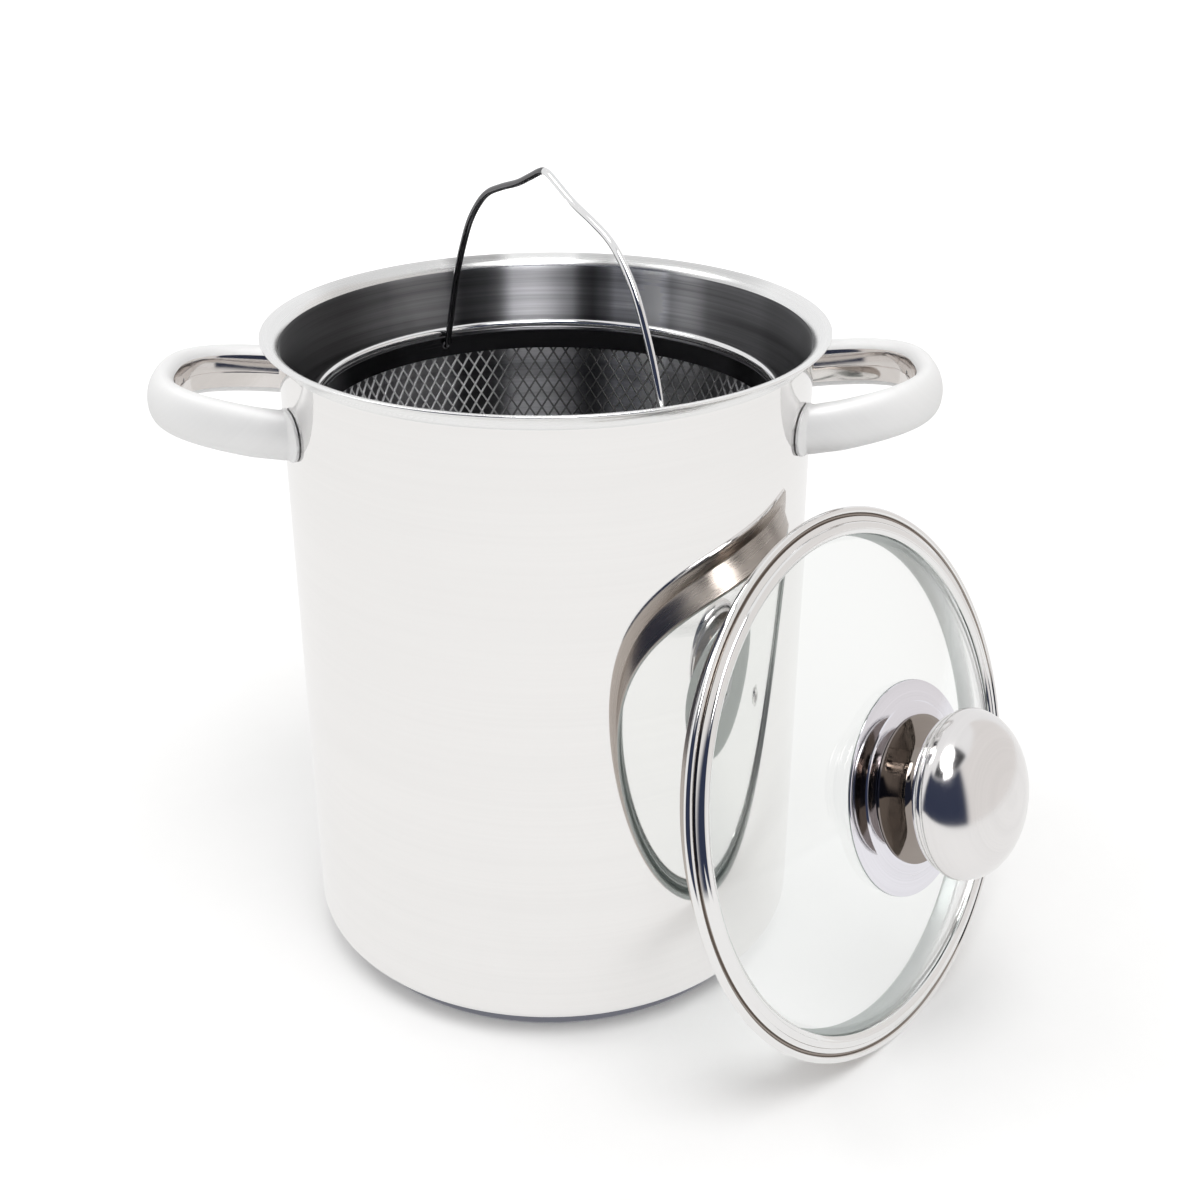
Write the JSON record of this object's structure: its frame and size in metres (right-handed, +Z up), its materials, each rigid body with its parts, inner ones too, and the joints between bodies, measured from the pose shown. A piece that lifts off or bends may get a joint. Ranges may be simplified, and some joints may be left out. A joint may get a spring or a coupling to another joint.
{
  "type": "asparagus pot",
  "caption": "Tall steel pot for cooking asparagus upright, with loop handles, a lift-out mesh basket on a wire bail and a domed glass lid leaning on its side.",
  "frame": {"origin": "centre of the underside of the base, on the surface the pot stands on", "axes": "+Z up along the pot's axis, X through both handles, the lid leans on the +X -Y side"},
  "size_m": [0.2735, 0.2116, 0.2538],
  "materials": {
    "mirror_steel": "mirror-polished stainless steel",
    "satin_steel": "satin stainless steel sheet",
    "wire_steel": "bright-drawn stainless wire",
    "aluminium": "plain, sealed in the base",
    "clear_glass": "clear tempered glass with a faint green edge",
    "silicone": "matt translucent grey"
  },
  "bodies": {
    "pot": {"pot_body": "mirror_steel", "base_core": "aluminium", "base_cap": "satin_steel", "left_handle": "mirror_steel", "right_handle": "mirror_steel"},
    "basket": {"basket_rim": "wire_steel", "basket_band": "satin_steel", "basket_mesh": "satin_steel", "basket_lower_band": "satin_steel", "basket_foot_ring": "wire_steel", "basket_floor": "satin_steel"},
    "bail": {"basket_bail": "wire_steel"},
    "lid": {"lid_rim": "mirror_steel", "lid_glass": "clear_glass", "vent_grommet": "mirror_steel", "knob_gasket": "silicone", "knob_escutcheon": "mirror_steel", "knob_neck": "mirror_steel", "knob_cap": "mirror_steel", "knob_insert": "satin_steel", "knob_washer": "satin_steel", "knob_screw": "satin_steel"}
  },
  "joints": [
    {"name": "basket_lift", "type": "slide", "parent": "pot", "child": "basket", "axis": [0, 0, 1], "range_m": [0, 0.22]},
    {"name": "bail_swing", "type": "hinge", "parent": "basket", "child": "bail", "pos_m": [0, 0, 0.18216], "axis": [-0.4894, 0.8721, 0], "range_deg": [-80, 80]},
    {"name": "lid_lift", "type": "slide", "parent": "pot", "child": "lid", "axis": [0.717, -0.6388, 0.279], "range_m": [0, 0.2]}
  ]
}
